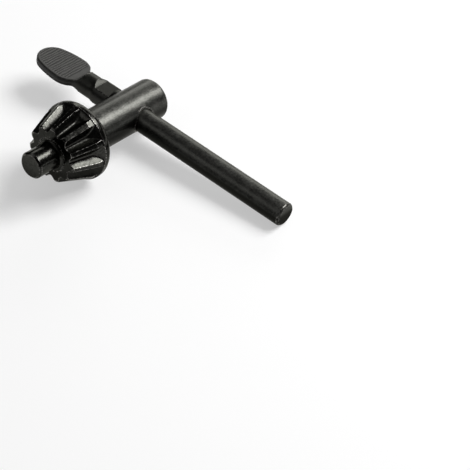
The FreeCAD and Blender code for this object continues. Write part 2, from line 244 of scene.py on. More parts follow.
class FinishSettings(bpy.types.PropertyGroup):
    """Colours, painted shade, gloss and fine relief of the blackened steel."""

    oxide: colour("Oxide", "Black oxide in its main tone", (0.048, 0.048, 0.0435))
    oxide_patch: colour("Oxide patch", "Paler tone in flecks and soft patches",
                        (0.100, 0.100, 0.092))
    # Painted shade: darker tone over the staking flats and the neck, standing in for dim
    # reflections there.
    worked: colour("Worked oxide", "Darker oxide where the bar is flattened and necked",
                   (0.026, 0.026, 0.0235))
    pinion_oxide: colour("Pinion oxide", "Oxide on the pinion and the pilot",
                         (0.043, 0.043, 0.039))
    pinion_fleck: colour("Pinion fleck", "Darker flecks on the pinion and the pilot",
                         (0.022, 0.022, 0.0195))
    # Painted shade: near-black tone that darkens the lower sides and the pinion's front face.
    underside: colour("Underside", "Oxide on what faces the table", (0.008, 0.008, 0.0068))
    # Painted shade: dark tone on the paddle's side wall and in the deeper rib grooves.
    dark_wall: colour("Dark wall", "Oxide on the paddle's side wall", (0.005, 0.005, 0.0045))
    matt_oxide: colour("Matt oxide", "Oxide on the forged paddle", (0.0420, 0.0411, 0.0387))
    bare_steel: colour("Bare steel", "Steel that shows through on rubbed edges",
                       (0.34, 0.33, 0.31))
    sheen: colour("Sheen", "Strength of the reflections at a low angle", (0.72, 0.72, 0.69))
    pinion_roughness: share("Pinion roughness", "Roughness of the pinion and the pilot", 0.17)
    shank_roughness: share("Shank roughness", "Roughness of the turned shank", 0.33)
    bar_roughness: share("Bar roughness", "Roughness of the round bar", 0.38)
    stake_roughness: share("Stake roughness", "Roughness of the flattened part", 0.34)
    paddle_roughness: share("Paddle roughness", "Roughness of the forged paddle", 0.56)
    end_roughness: share("End roughness", "Roughness of the sawn end", 0.58)
    patch_roughness: share("Patch roughness", "Roughness added in the soft patches", 0.05)
    fleck_roughness: share("Fleck roughness", "How far the roughness follows the flecks", 0.3)
    # Painted shade on the pinion: how much of it the front face and the low side take.
    front_shade: share("Front shade", "Underside's tone on the pinion's front face", 0.6)
    low_shade: share("Low shade", "Underside's tone low on the pinion", 0.85)
    # Share of the painted shade left off the slope up from the flats.
    slope_shine: share("Slope shine", "Bar's tone on the slope up from the flats", 0.25)
    gloss: share("Gloss level", "Strength of the reflections, one half for plain glass", 0.40)
    oil: share("Oil film", "Weight of the oil film on the shank", 0.1)
    oil_roughness: share("Oil roughness", "Roughness of the oil film", 0.24)
    rub: share("Rub", "How much steel shows on sharp edges", 0.7)
    paddle_rub: share("Paddle rub", "Share of that on the matt paddle", 0.15)
    line_depth: length("Line depth", "Depth of the lines left by turning and drawing", 0.0000035)
    pinion_line_depth: length("Pinion lines", "Depth of those lines on the pinion", 0.0000021)
    stake_line_depth: length("Stake lines", "Depth of those lines on the flats", 0.0000105)
    saw_depth: length("Saw depth", "Depth of the lines on the sawn end", 0.000032)
    grain_depth: length("Grain depth", "Depth of the grain of the forged faces", 0.000008)
    swell_depth: length("Swell depth", "Depth of the slow waves in the teeth's flanks", 0.00008)
    dent_depth: length("Dent depth", "Depth of the shallow unevenness everywhere", 0.000018)


class StageSettings(bpy.types.PropertyGroup):
    """Table, room, camera, and the power of each lamp."""

    table_colour: colour("Table colour", "Colour of the table", (0.50, 0.50, 0.50))
    table_size: length("Table size", "Length of the table's sides", 12)
    table_glow: share("Table glow", "White added to the table for the camera", 0.47)
    sky_level: share("Sky level", "Grey level of the room around the table", 0.05)
    camera_aim: FloatVectorProperty(name="Camera aim", description="Point in the view's middle",
                                    default=(-0.00262, 0.04458, 0), size=3,
                                    subtype="TRANSLATION", unit="LENGTH", precision=5)
    camera_shift: FloatVectorProperty(name="Camera shift", description="Shift of the picture",
                                      default=(-0.00106, 0.00106), size=2, precision=5)
    camera_distance: length("Camera distance", "Distance from the camera to its aim", 0.6059)
    camera_bearing: angle("Camera bearing", "Bearing of the camera, from x to y", 41.494)
    camera_height: angle("Camera height", "Angle of the camera above the table", 45.734)
    camera_roll: angle("Camera roll", "Roll of the camera", -0.761)
    camera_lens: FloatProperty(name="Lens", description="Focal length in millimetres",
                               default=148.86, min=1, unit="CAMERA")
    key_power: power("Key lamp", "Power of the main lamp", 8.2)
    core_power: power("Core lamps", "Power of each bright spot in the main lamp", 0.4)
    top_power: power("Top lamp", "Power of the broad lamp above", 0.5)
    fill_power: power("Fill lamp", "Power of the fill lamp", 0.6)
    wall_power: power("Wall lamp", "Power of the wall behind", 4.2)


def unit(vectors):
    """The same directions with length one."""
    return vectors / np.linalg.norm(vectors, axis=-1, keepdims=True)


def key_placement():
    """Matrix from key axes to the frame, worked out from the pilot's mount.

    The body's axis is the mount's axis. The bar's axis is square to it and has no x part, so
    it is the cross product of the body's axis and the x direction. The origin lies back along
    the body from the mount's middle by that middle's place on the body.
    """
    sizes = bpy.context.scene.key_body_sizes
    along_body = Vector(pilot_mount["axis"]).normalized()
    along_bar = along_body.cross(Vector((1, 0, 0))).normalized()
    upward = along_body.cross(along_bar)
    round_start = sizes.front_face + sizes.pilot_root_fillet
    round_end = sizes.pilot_tip - sizes.pilot_chamfer
    origin = Vector(pilot_mount["pos_m"]) - along_body * (round_start + round_end) / 2
    turn = Matrix((along_body, along_bar, upward)).transposed()
    return Matrix.Translation(origin) @ turn.to_4x4()


def soft_min(first, second, reach):
    """Smaller of two values, with a parabola across the corner where they differ by less
    than reach: min(a, b) - reach / 4 * (1 - |a - b| / reach) ** 2."""
    blend = np.clip(1 - np.abs(first - second) / reach, 0, None)
    return np.minimum(first, second) - blend ** 2 * reach / 4


def soft_max(first, second, reach):
    """Larger of two values with the corner filled in, the mirror image of soft_min."""
    return -soft_min(-first, -second, reach)


def smooth_step(values):
    """Rises from nought to one with level ends: 3 t squared - 2 t cubed."""
    held = np.clip(values, 0, 1)
    return held * held * (3 - 2 * held)


def rounded_path(corners, radii, steps):
    """Path through corners with a circular arc at each inner one.

    An arc starts and ends at radius times the tangent of half the turn from its corner. Its
    points are a rational curve of second order whose middle weight is the cosine of half the
    turn, which is a true circle. One more point on each side keeps the run beside it flat.
    """
    corners = np.asarray(corners, float)
    radii = np.asarray(radii, float)[:, None]
    before = unit(corners[:-2] - corners[1:-1])
    after = unit(corners[2:] - corners[1:-1])
    cosine = np.clip(-(before * after).sum(axis=1, keepdims=True), -1, 1)
    half_turn = np.arccos(cosine) / 2
    cut = radii * np.tan(half_turn)
    lead = cut + radii / 4
    middle = corners[1:-1][:, None]
    start = middle + (before * cut)[:, None]
    end = middle + (after * cut)[:, None]
    t = np.linspace(0, 1, steps + 1)[None, :, None]
    bend = 2 * t * (1 - t) * np.cos(half_turn)[:, None]
    total = (1 - t) ** 2 + bend + t ** 2
    arcs = ((1 - t) ** 2 * start + bend * middle + t ** 2 * end) / total
    led = np.concatenate([middle + (before * lead)[:, None], arcs,
                          middle + (after * lead)[:, None]], axis=1)
    return np.concatenate([corners[:1], led.reshape(-1, 2), corners[-1:]])


def run_length(path):
    """Distance from the start of a path to each of its points."""
    return np.concatenate([[0], np.cumsum(np.linalg.norm(np.diff(path, axis=0), axis=1))])


def refined_path(path, added, clearance):
    """The same path with points added at run lengths that keep clear of its own points."""
    run = run_length(path)
    clear = np.abs(added[:, None] - run[None, :]).min(axis=1) > clearance
    stations = np.union1d(run, added[clear])
    return np.stack([np.interp(stations, run, path[:, k]) for k in range(2)], axis=1)


def spaced_path(path, spacing):
    """The same path with points added along its long runs, about spacing apart."""
    added = np.arange(spacing, run_length(path)[-1], spacing)
    return refined_path(path, added, spacing / 3)


def turned(x, radius, around):
    """Points of a turned surface: (x, radius times cosine, radius times sine of the angle)."""
    x, radius, around = np.broadcast_arrays(x, radius, around)
    return np.stack([x, radius * np.cos(around), radius * np.sin(around)], axis=-1)


def new_object(name, data):
    """Object around a mesh, a lamp or a camera, linked to the scene."""
    made = bpy.data.objects.new(name, data)
    bpy.context.scene.collection.objects.link(made)
    return made


def read_rows(items, field, width, kind):
    """One field of every item, as an array with a row for each."""
    values = np.empty(len(items) * width, kind)
    items.foreach_get(field, values)
    return values.reshape(-1, width)


class Skin:
    """Skin of one piece, gathered from grids whose borders meet and are welded at the end."""

    def __init__(self):
        self.points = []
        self.faces = []
        self.count = 0

    def add_points(self, points):
        """Keeps the points and gives the number of the first."""
        first = self.count
        flat = points.reshape(-1, 3)
        self.points.append(flat)
        self.count += len(flat)
        return first

    def add_grid(self, points, kept=None):
        """Quads between the rows of a grid whose last column is followed by its first."""
        rows, columns = points.shape[:2]
        first = self.add_points(points)
        row = np.arange(rows - 1)[:, None] * columns
        column = np.arange(columns)[None, :]
        after = (column + 1) % columns
        quads = np.stack([row + column, row + after, row + columns + after,
                          row + columns + column], axis=-1) + first
        if kept is not None:
            quads = quads[kept]
        self.faces.extend(quads.reshape(-1, 4).tolist())

    def join_rings(self, coarse, fine):
        """Flat ring of triangles between a coarse ring and one with several times its points.

        Each coarse point fans out to the half of its fine points on either side."""
        ratio = len(fine) // len(coarse)
        first = self.add_points(np.concatenate([coarse, fine]))
        segment = np.arange(len(coarse))[:, None]
        part = np.arange(ratio)[None, :]
        fine_start = first + len(coarse)
        low = fine_start + segment * ratio + part
        high = fine_start + (segment * ratio + part + 1) % len(fine)
        owner = first + (segment + (part >= ratio // 2)) % len(coarse)
        fans = np.stack([owner, low, high], axis=-1).reshape(-1, 3)
        middle = fine_start + segment[:, 0] * ratio + ratio // 2
        bridges = np.stack([first + segment[:, 0], middle,
                            first + (segment[:, 0] + 1) % len(coarse)], axis=-1)
        self.faces.extend(fans.tolist() + bridges.tolist())

    def piece(self, name, material):
        """Finished object: the points turned and moved into the frame, with the grids welded
        and the faces turned outwards."""
        mesh = bpy.data.meshes.new(name)
        placed = np.concatenate(self.points)
        place = np.array(key_placement())
        placed = placed @ place[:3, :3].T + place[:3, 3]
        mesh.from_pydata(placed.tolist(), [], self.faces)
        solid = bmesh.new()
        solid.from_mesh(mesh)
        bmesh.ops.remove_doubles(solid, verts=solid.verts, dist=WELD_DISTANCE)
        bmesh.ops.recalc_face_normals(solid, faces=solid.faces)
        solid.to_mesh(mesh)
        solid.free()
        mesh.polygons.foreach_set("use_smooth", np.ones(len(mesh.polygons), bool))
        mark_edges(mesh)
        mesh.materials.append(material)
        return new_object(name, mesh)


def mark_edges(mesh):
    """Stores how sharply the skin bends outwards at each point, in radians per millimetre.

    For each edge that is the difference of the two normals along the edge, over the edge's
    length, and a point takes the largest value of its edges.
    """
    points = read_rows(mesh.vertices, "co", 3, float)
    normals = read_rows(mesh.vertices, "normal", 3, float)
    ends = read_rows(mesh.edges, "vertices", 2, int)
    along = points[ends[:, 1]] - points[ends[:, 0]]
    bend = ((normals[ends[:, 1]] - normals[ends[:, 0]]) * along).sum(axis=1)
    sharpness = bend / np.maximum((along ** 2).sum(axis=1), WELD_DISTANCE ** 2) * MM
    most = np.zeros(len(points))
    np.maximum.at(most, ends[:, 0], sharpness)
    np.maximum.at(most, ends[:, 1], sharpness)
    layer = mesh.attributes.new(EDGE_LAYER, "FLOAT", "POINT")
    layer.data.foreach_set("value", most.astype(np.float32))


class Pinion:
    """Shape of the toothed part as a radius over place and angle.

    The lands and the gullets' floors lie on cones with one apex, through which each flank's
    plane runs too. At the front face a flank joins the corners of a floor and a land: lean is
    its run sideways over its rise, and flank_offset is how far it passes beside the axis.
    The run-out is the circle that leaves the floor's cone at its start and ends in the rim,
    so its radius is the chord squared over twice the chord's part square to the cone.
    """

    def __init__(self, sizes):
        self.sizes = sizes
        self.pitch = FULL_TURN / sizes.tooth_count
        self.crest_slope = ((sizes.rim_radius - sizes.crest_front_radius)
                            / (sizes.front_face - sizes.rim_front))
        self.apex = sizes.front_face + sizes.crest_front_radius / self.crest_slope
        self.root_slope = sizes.root_front_radius / (self.apex - sizes.front_face)
        crest_half = (self.pitch - sizes.land_angle) / 2
        root_half = sizes.root_gap_angle / 2
        crest = sizes.crest_front_radius * np.array([math.sin(crest_half), math.cos(crest_half)])
        root = sizes.root_front_radius * np.array([math.sin(root_half), math.cos(root_half)])
        self.lean = (crest[0] - root[0]) / (crest[1] - root[1])
        self.flank_offset = root[1] * self.lean - root[0]
        start = np.array([sizes.runout_start,
                          self.root_slope * (self.apex - sizes.runout_start)])
        end = np.array([sizes.rim_front - sizes.runout_land, sizes.rim_radius])
        outward = unit(np.array([self.root_slope, 1.0]))
        chord = end - start
        self.runout_radius = (chord @ chord) / (2 * (chord @ outward))
        self.runout_centre = start + outward * self.runout_radius

    def floor_height(self, x):
        """Height of a gullet's floor: straight towards the cone's apex, and behind the
        run-out's start the hollow arc that leaves that line and rises through the rim."""
        straight = self.root_slope * (self.apex - x)
        offset = x - self.runout_centre[0]
        under_root = np.clip(self.runout_radius ** 2 - offset ** 2, 0, None)
        return np.where(x < self.sizes.runout_start,
                        self.runout_centre[1] - np.sqrt(under_root), straight)

    def gullet(self, x, around):
        """Radius left by the gullets.

        From the nearest gullet's middle line by an angle d, a flat flank through the apex has
        the radius offset / (lean cos d - sin d), scaled with the distance to the apex, and a
        flat floor has height / cos d. The larger of the two is what the cutter leaves. The
        flank is hollowed by a parabola, 4 t (1 - t) over the share t of its height.
        """
        turns = (around - self.sizes.tooth_phase) / self.pitch
        from_middle = np.abs(turns - np.floor(turns) - 0.5) * self.pitch
        scale = (self.apex - x) / (self.apex - self.sizes.front_face)
        steepness = self.lean * np.cos(from_middle) - np.sin(from_middle)
        root, crest = self.sizes.root_front_radius, self.sizes.crest_front_radius
        level = np.clip((self.flank_offset / steepness - root) / (crest - root), 0, 1)
        hollow = 4 * self.sizes.flank_hollow * level * (1 - level)
        flank = scale * (self.flank_offset - hollow) / steepness
        floor = self.floor_height(x) / np.cos(from_middle)
        return soft_max(flank, floor, 2 * self.sizes.edge_radius)

    def radius(self, x, blank, around):
        """Radius of the toothed part: the turned blank where no gullet is cut below it."""
        return soft_min(blank, self.gullet(x, around), self.sizes.edge_radius)

    def columns(self, per_half):
        """Angles of the grid's columns, closer together at the land's and the floor's edges.

        Half a pitch is shared out evenly by a density of one plus two bells at the edges."""
        half = self.pitch / 2
        edges = np.array([self.sizes.land_angle, self.pitch - self.sizes.root_gap_angle]) / 2
        fine = np.linspace(0, half, 400)
        bells = np.exp(-((fine[:, None] - edges) / EDGE_REACH) ** 2).sum(axis=1)
        total = np.cumsum(1 + EDGE_DENSITY * bells)
        total = (total - total[0]) / (total[-1] - total[0])
        quarter = np.interp(np.linspace(0, 1, per_half + 1), total, fine)
        tooth = np.concatenate([quarter[:-1], self.pitch - quarter[:0:-1]])
        starts = np.arange(self.sizes.tooth_count)[:, None] * self.pitch
        return (self.sizes.tooth_phase + starts + tooth).ravel()

    def runout_places(self, spacing):
        """Places along the run-out, evenly spaced along the hollow arc."""
        fine = np.linspace(self.sizes.rim_front - 2 * self.sizes.runout_land,
                           self.sizes.runout_start, 300)
        run = run_length(np.stack([fine, self.floor_height(fine)], axis=1))
        count = int(run[-1] / spacing)
        return np.interp(np.linspace(0, run[-1], count), run, fine)


def pinion_grids(skin, sizes):
    """Rim's back, rim, teeth, front face and pilot, and gives the first ring of points.

    The blank's outline is a path of places and radii, turned round the axis with the gullets
    cut out. The front edge is a quarter circle on what they leave: place edge sin q, depth
    edge (1 - cos q). The front face runs straight in from it to the pilot's round path."""
    pinion = Pinion(sizes)
    around = pinion.columns(COLUMNS_PER_HALF_PITCH)[None, :]
    edge = sizes.edge_radius
    chamfer_back = sizes.front_face - sizes.crest_front_chamfer
    chamfer_radius = sizes.crest_front_radius + sizes.crest_front_chamfer * pinion.crest_slope
    face_radius = sizes.crest_front_radius - sizes.crest_front_chamfer
    band_front = sizes.rim_front + sizes.land_band
    band_radius = pinion.crest_slope * (pinion.apex - band_front)
    flat_start = sizes.rim_radius - sizes.rim_back_chamfer - 6 * edge
    outer = rounded_path(
        [(sizes.rim_back, flat_start),
         (sizes.rim_back, sizes.rim_radius - sizes.rim_back_chamfer),
         (sizes.rim_back + sizes.rim_back_chamfer, sizes.rim_radius),
         (sizes.rim_front, sizes.rim_radius),
         (sizes.rim_front, sizes.rim_radius - sizes.rim_step),
         (band_front, band_radius),
         (chamfer_back, chamfer_radius),
         (sizes.front_face, face_radius)],
        [edge, sizes.rim_crown, edge / 2, edge / 2, 2 * edge, edge], ARC_STEPS)
    outer = outer[outer[:, 0] < sizes.front_face - edge]
    runout = pinion.runout_places(RUNOUT_SPACING)
    straight = np.linspace(sizes.runout_start, chamfer_back - 2 * edge, TOOTH_ROWS)[1:]
    added = np.interp(np.concatenate([runout, straight]), outer[:, 0], run_length(outer))
    outer = refined_path(outer, added, edge / 3)
    places, blank = outer[:, :1], outer[:, 1:]
    teeth = turned(places, pinion.radius(places, blank, around), around)

    quarter = np.linspace(0, math.pi / 2, ARC_STEPS + 1)[:, None]
    edge_place = sizes.front_face - edge * (1 - np.sin(quarter))
    edge_blank = face_radius + (sizes.front_face - edge_place)
    edge_radius = pinion.radius(edge_place, edge_blank, around) - edge * (1 - np.cos(quarter))
    front_edge = turned(edge_place, edge_radius, around)

    fillet_top = sizes.pilot_radius + sizes.pilot_root_fillet + edge
    outward = np.array([0.97, 0.9, 0.7, 0.4, 0.15, 0])[:, None]
    face_rows = fillet_top + (edge_radius[-1:] - fillet_top) * outward
    front_face = turned(sizes.front_face, face_rows, around)

    pilot = rounded_path(
        [(sizes.front_face, fillet_top),
         (sizes.front_face, sizes.pilot_radius),
         (sizes.pilot_tip - sizes.pilot_chamfer, sizes.pilot_radius),
         (sizes.pilot_tip, sizes.pilot_radius - sizes.pilot_chamfer),
         (sizes.pilot_tip, 0)],
        [sizes.pilot_root_fillet, edge, edge], 2 * ARC_STEPS)
    pilot = spaced_path(pilot, PILOT_SPACING)
    pilot_rows = turned(pilot[:, :1], pilot[:, 1:], around)
    skin.add_grid(np.concatenate([teeth, front_edge, front_face, pilot_rows]))
    return teeth[0]


def shank_grids(skin, sizes, bar_radius):
    """Rear face, shank with the cross hole's two mouths, the bore, and the slope up to the
    rim's back, and gives the last ring of points.

    The outline is turned round the axis in even steps. Round the hole its rows are as far
    apart as its columns, so that a square block of cells can open into the mouth."""
    count = sizes.tooth_count * 2 * COLUMNS_PER_HALF_PITCH // FINE_PER_COARSE
    edge = sizes.edge_radius
    step = FULL_TURN / count
    half_cells = round(bar_radius / (sizes.shank_radius * step))
    spacing = bar_radius / half_cells
    near = spacing * np.arange(-2 * half_cells + 1, 2 * half_cells)
    rear = rounded_path(
        [(sizes.shank_rear, 0), (sizes.shank_rear, sizes.shank_radius),
         (near[0], sizes.shank_radius)], [sizes.shank_rear_round], 2 * ARC_STEPS)
    rear = spaced_path(rear, SHANK_SPACING)[:-1]
    ahead = rounded_path(
        [(near[-1], sizes.shank_radius),
         (sizes.rim_back - sizes.collar_chamfer, sizes.shank_radius),
         (sizes.rim_back, sizes.shank_radius + sizes.collar_chamfer),
         (sizes.rim_back, sizes.shank_radius + 2 * sizes.collar_chamfer)],
        [2 * edge, edge], ARC_STEPS)
    ahead = spaced_path(ahead, SHANK_SPACING)[1:]
    middle = np.stack([near, np.full(len(near), sizes.shank_radius)], axis=1)
    path = np.concatenate([rear, middle, ahead])
    x = np.repeat(path[:, :1], count, axis=1)
    around = np.repeat(np.arange(count)[None, :] * step, len(path), axis=0)
    first_row = len(rear) + half_cells - 1
    kept = np.ones((len(path) - 1, count), bool)
    for mouth in (0, count // 2):
        x, around = open_mouth(x, around, mouth * step, sizes, bar_radius)
        columns = np.arange(mouth - half_cells, mouth + half_cells) % count
        kept[first_row:first_row + 2 * half_cells, columns] = False
    skin.add_grid(turned(x, path[:, 1:], around), kept)
    ring = mouth_ring(first_row, half_cells, count)
    bore_grid(skin, x[ring], around[ring], sizes, bar_radius)
    return turned(path[-1, 0], path[-1, 1], around[-1])


def open_mouth(x, around, middle, sizes, bar_radius):
    """Draws the square of grid lines round a hole's middle out to the hole's round edge.

    The square's half size is the bar's radius. A point at s half sizes from the middle moves
    towards the edge's point at its own bearing, by a factor that falls smoothly from one,
    where s is one, to nought. The edge is where a cylinder square to the shank meets it:
    (r cos b, asin(r sin b / R)), with r the radius round the lip.
    """
    turn = (around - middle + math.pi) % FULL_TURN - math.pi
    across = turn * sizes.shank_radius
    half_sizes = np.maximum(np.abs(x), np.abs(across)) / bar_radius
    bearing = np.arctan2(across, x)
    fade = 0.9
    pull = 1 - smooth_step((half_sizes - 1) / fade)
    mouth_radius = bar_radius + sizes.hole_edge_break + sizes.lip_width
    edge_turn = np.arcsin(mouth_radius * np.sin(bearing) / sizes.shank_radius)
    x = x + (mouth_radius * np.cos(bearing) - x) * pull
    return x, around + (edge_turn - turn) * pull


def mouth_ring(first_row, half_cells, count):
    """Row and column numbers of the points round the mouth at angle nought, in order."""
    side = np.arange(2 * half_cells)
    low = np.zeros(2 * half_cells, int)
    high = low + 2 * half_cells
    rows = np.concatenate([side, high, high - side, low]) + first_row
    columns = np.concatenate([low, side, high, high - side]) - half_cells
    return rows, columns % count


def bore_grid(skin, x, around, sizes, bar_radius):
    """Lip, chamfer and bore from mouth to mouth.

    Each ring is (r cos b, y, r sin b), with y the height of the shank over the ring less a
    depth. Over the lip the depth is minus its height times the squared sine of the way
    across it. The rings on the far side are mirrored."""
    bearing = np.arctan2(sizes.shank_radius * np.sin(around), x)
    edge = sizes.edge_radius / 4
    break_size = sizes.hole_edge_break
    across = np.linspace(0, 1, LIP_ROWS, endpoint=False)
    depths = np.concatenate([-sizes.lip_height * np.sin(math.pi * across) ** 2,
                             [0, edge, break_size, break_size + edge, 3 * break_size]])
    radii = np.concatenate([break_size + edge + (sizes.lip_width - edge) * (1 - across),
                            [break_size + edge, break_size, edge, 0, 0]]) + bar_radius
    across_bore = radii[:, None] * np.sin(bearing)
    height = np.sqrt(sizes.shank_radius ** 2 - across_bore ** 2) - depths[:, None]
    near = np.stack([radii[:, None] * np.cos(bearing), height, across_bore], axis=-1)
    far = near[::-1] * np.array([1, -1, 1])
    skin.add_grid(np.concatenate([near, far]))


class CHUCKKEY_OT_build_body(bpy.types.Operator):
    """Builds the turned body with its pilot, bevel pinion, rim, shank and cross hole"""

    bl_idname = "chuckkey.build_body"
    bl_label = "Build Key Body"

    def execute(self, context):
        sizes = context.scene.key_body_sizes
        bar_radius = context.scene.cross_bar_sizes.bar_radius
        skin = Skin()
        fine_ring = pinion_grids(skin, sizes)
        coarse_ring = shank_grids(skin, sizes, bar_radius)
        skin.join_rings(coarse_ring, fine_ring)
        body = skin.piece("chuck_key_body", body_material())
        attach(body, "root")
        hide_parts("key_body")
        return {"FINISHED"}


class Paddle:
    """Outline and faces of the thumb paddle on one side of its middle, by place along the bar.

    Widths are measured from the paddle's middle, which lies beside the bar's axis. The side's
    long arc touches the circles of the neck n and the tip t, whose centres are a span s
    apart, so its radius is (s squared + n squared - t squared) / 2 (n - t). The hollow root
    touches the neck's circle and the straight tongue."""

    def __init__(self, sizes, side):
        self.sizes = sizes
        self.side = side
        self.tongue = sizes.tongue - side * sizes.offset
        span = sizes.neck_place - sizes.tip_place
        self.side_radius = ((span ** 2 + sizes.neck_radius ** 2 - sizes.tip_radius ** 2)
                            / (2 * (sizes.neck_radius - sizes.tip_radius)))
        self.side_turn = math.atan2(span, self.side_radius - sizes.neck_radius)
        self.blend_x = self.tongue + sizes.root_fillet
        rise = math.sqrt((sizes.neck_radius + sizes.root_fillet) ** 2 - self.blend_x ** 2)
        self.blend_y = sizes.neck_place + rise
        self.joint_turn = math.atan2(rise, self.blend_x)

    def half_width(self, y, inset):
        """Half width of the outline drawn inset by a distance, at each place y.

        From the tip: the tip's arc, the side's long arc, the neck's arc, the hollow fillet and
        the straight tongue. An inset arc has its own centre and a radius less the inset, and
        the hollow one a radius more the inset."""
        sizes = self.sizes

        def arc(centre_x, centre_y, radius, side):
            under = np.clip(radius ** 2 - (y - centre_y) ** 2, 0, None)
            return centre_x + side * np.sqrt(under)

        tip = arc(0, sizes.tip_place, sizes.tip_radius - inset, 1)
        long_side = arc(sizes.neck_radius - self.side_radius, sizes.neck_place,
                        self.side_radius - inset, 1)
        neck = arc(0, sizes.neck_place, sizes.neck_radius - inset, 1)
        fillet = arc(self.blend_x, self.blend_y, sizes.root_fillet + inset, -1)
        tip_end = sizes.tip_place - math.sin(self.side_turn) * (sizes.tip_radius - inset)
        joint = sizes.neck_place + math.sin(self.joint_turn) * (sizes.neck_radius - inset)
        width = np.where(y < tip_end, tip, long_side)
        width = np.where(y > sizes.neck_place, neck, width)
        width = np.where(y > joint, fillet, width)
        width = np.where(y > self.blend_y, self.tongue - inset, width)
        return np.clip(width, 0, None)

    def edge_height(self, inset):
        """Half thickness at a distance in from the outline, a quarter circle up to the face."""
        sizes = self.sizes
        flat = sizes.thickness / 2 - sizes.edge_round
        short = np.clip(sizes.edge_round - inset, 0, None)
        return flat + np.sqrt(np.clip(sizes.edge_round ** 2 - short ** 2, 0, None))

    def quarter(self, y):
        """Section of the plate from its top middle to its side: a flat run, the quarter round
        as inset copies of the outline, and a straight side. Gives places and heights."""
        sizes = self.sizes
        top_share = np.linspace(0, 1, QUARTER_TOP + 1)
        top_x = top_share * self.half_width(y, sizes.edge_round)
        turn = np.linspace(0, math.pi / 2, QUARTER_CORNER + 1)[1:]
        inset = sizes.edge_round * (1 - np.sin(turn))
        corner_x = self.half_width(y, inset)
        side_x = np.repeat(self.half_width(y, 0), QUARTER_SIDE, axis=1)
        x = np.concatenate([top_x, corner_x, side_x], axis=1)
        from_tip = np.hypot(x, y - sizes.tip_place)
        wall = sizes.thickness / 2 - sizes.edge_round
        down = wall * np.linspace(1, 0, QUARTER_SIDE + 1)[1:]
        insets = np.concatenate([np.full(QUARTER_TOP + 1, sizes.edge_round), inset])
        closed = (x <= 0) & (y < sizes.tip_place)
        rim_inset = np.where(closed, sizes.tip_radius - from_tip,
                             np.concatenate([insets, np.zeros(QUARTER_SIDE)]))
        height = self.edge_height(np.clip(rim_inset, 0, sizes.edge_round))
        height[:, -QUARTER_SIDE:] = down
        return np.stack([sizes.offset + self.side * x, height], axis=-1)


def bar_stations(sizes):
    """Places of the bar's sections, closer together where its shape changes.

    Round the tip they are even in the angle of its arc, and elsewhere even in place."""
    rib_last = sizes.rib_first - (sizes.rib_count - 0.5) * sizes.rib_pitch
    reach = (sizes.tip_place - rib_last) / sizes.tip_radius
    tip_turn = np.linspace(math.pi / 2, math.asin(reach), SECTIONS["tip"])
    tip = sizes.tip_place - sizes.tip_radius * np.sin(tip_turn)
    ribs = np.arange(rib_last, sizes.ramp_foot, sizes.rib_pitch / SECTIONS["rib"])[1:]
    ramp_end = sizes.ramp_foot + sizes.ramp_radius
    ramp = np.linspace(sizes.ramp_foot, ramp_end, SECTIONS["ramp"])
    stake_start = sizes.flat_start - sizes.flat_ramp - 0.2 * MM
    covered = sizes.stake_end + 0.3 * MM
    neck = np.linspace(ramp_end, stake_start - 0.1 * MM, SECTIONS["neck"])[1:]
    stake = np.linspace(stake_start, covered, SECTIONS["stake"])
    inside = np.linspace(covered, -sizes.stake_end, SECTIONS["inside"])[1:]
    straight = np.linspace(-sizes.stake_end, sizes.bar_end - 4 * sizes.end_chamfer,
                           SECTIONS["straight"])[1:]
    return np.concatenate([tip, ribs, ramp, neck, stake, inside, straight])


def rod_quarter(sizes, side, y):
    """Section of the round bar from its top to one side, as places and heights.

    It is (r cos a, r sin a) with its height held under a limit: the flats' height beside the
    body, a straight slope up from them, and over the paddle the hollow ramp, which is a
    circle that rises from the paddle's face."""
    count = QUARTER_TOP + QUARTER_CORNER + QUARTER_SIDE
    turn = np.linspace(math.pi / 2, 0, count + 1)[None, :]
    no_limit = 2 * sizes.bar_radius
    swell_start = sizes.flat_start - sizes.stake_taper
    swell = smooth_step((y - swell_start) / sizes.stake_taper)
    swell = np.where(y > sizes.stake_end, 0, swell)
    radius = sizes.bar_radius + sizes.stake_spread * swell
    slope = (sizes.bar_radius - sizes.flat_height) / sizes.flat_ramp
    flat_limit = sizes.flat_height + slope * np.clip(sizes.flat_start - y, 0, None)
    flat_limit = np.where(y > sizes.stake_end, no_limit, flat_limit)
    ahead = np.clip(y - sizes.ramp_foot, 0, sizes.ramp_radius)
    ramp_limit = (sizes.thickness / 2 + sizes.ramp_radius
                  - np.sqrt(sizes.ramp_radius ** 2 - ahead ** 2))
    ramp_limit = np.where(y > sizes.ramp_foot + sizes.ramp_radius, no_limit, ramp_limit)
    limit = soft_min(flat_limit, ramp_limit, sizes.edge_radius)
    height = soft_min(radius * np.sin(turn), limit, sizes.edge_radius)
    height = np.where(turn > 0, np.clip(height, 0, None), 0)
    return np.stack([side * radius * np.cos(turn), height], axis=-1)


def full_section(right, left):
    """Closed section from two quarters: out along the top to the right, back beneath, out to
    the left beneath and back along the top."""
    under = np.array([1, -1])
    return np.concatenate([right[:, :-1], right[:, :0:-1] * under,
                           left[:, :-1] * under, left[:, :0:-1]], axis=1)


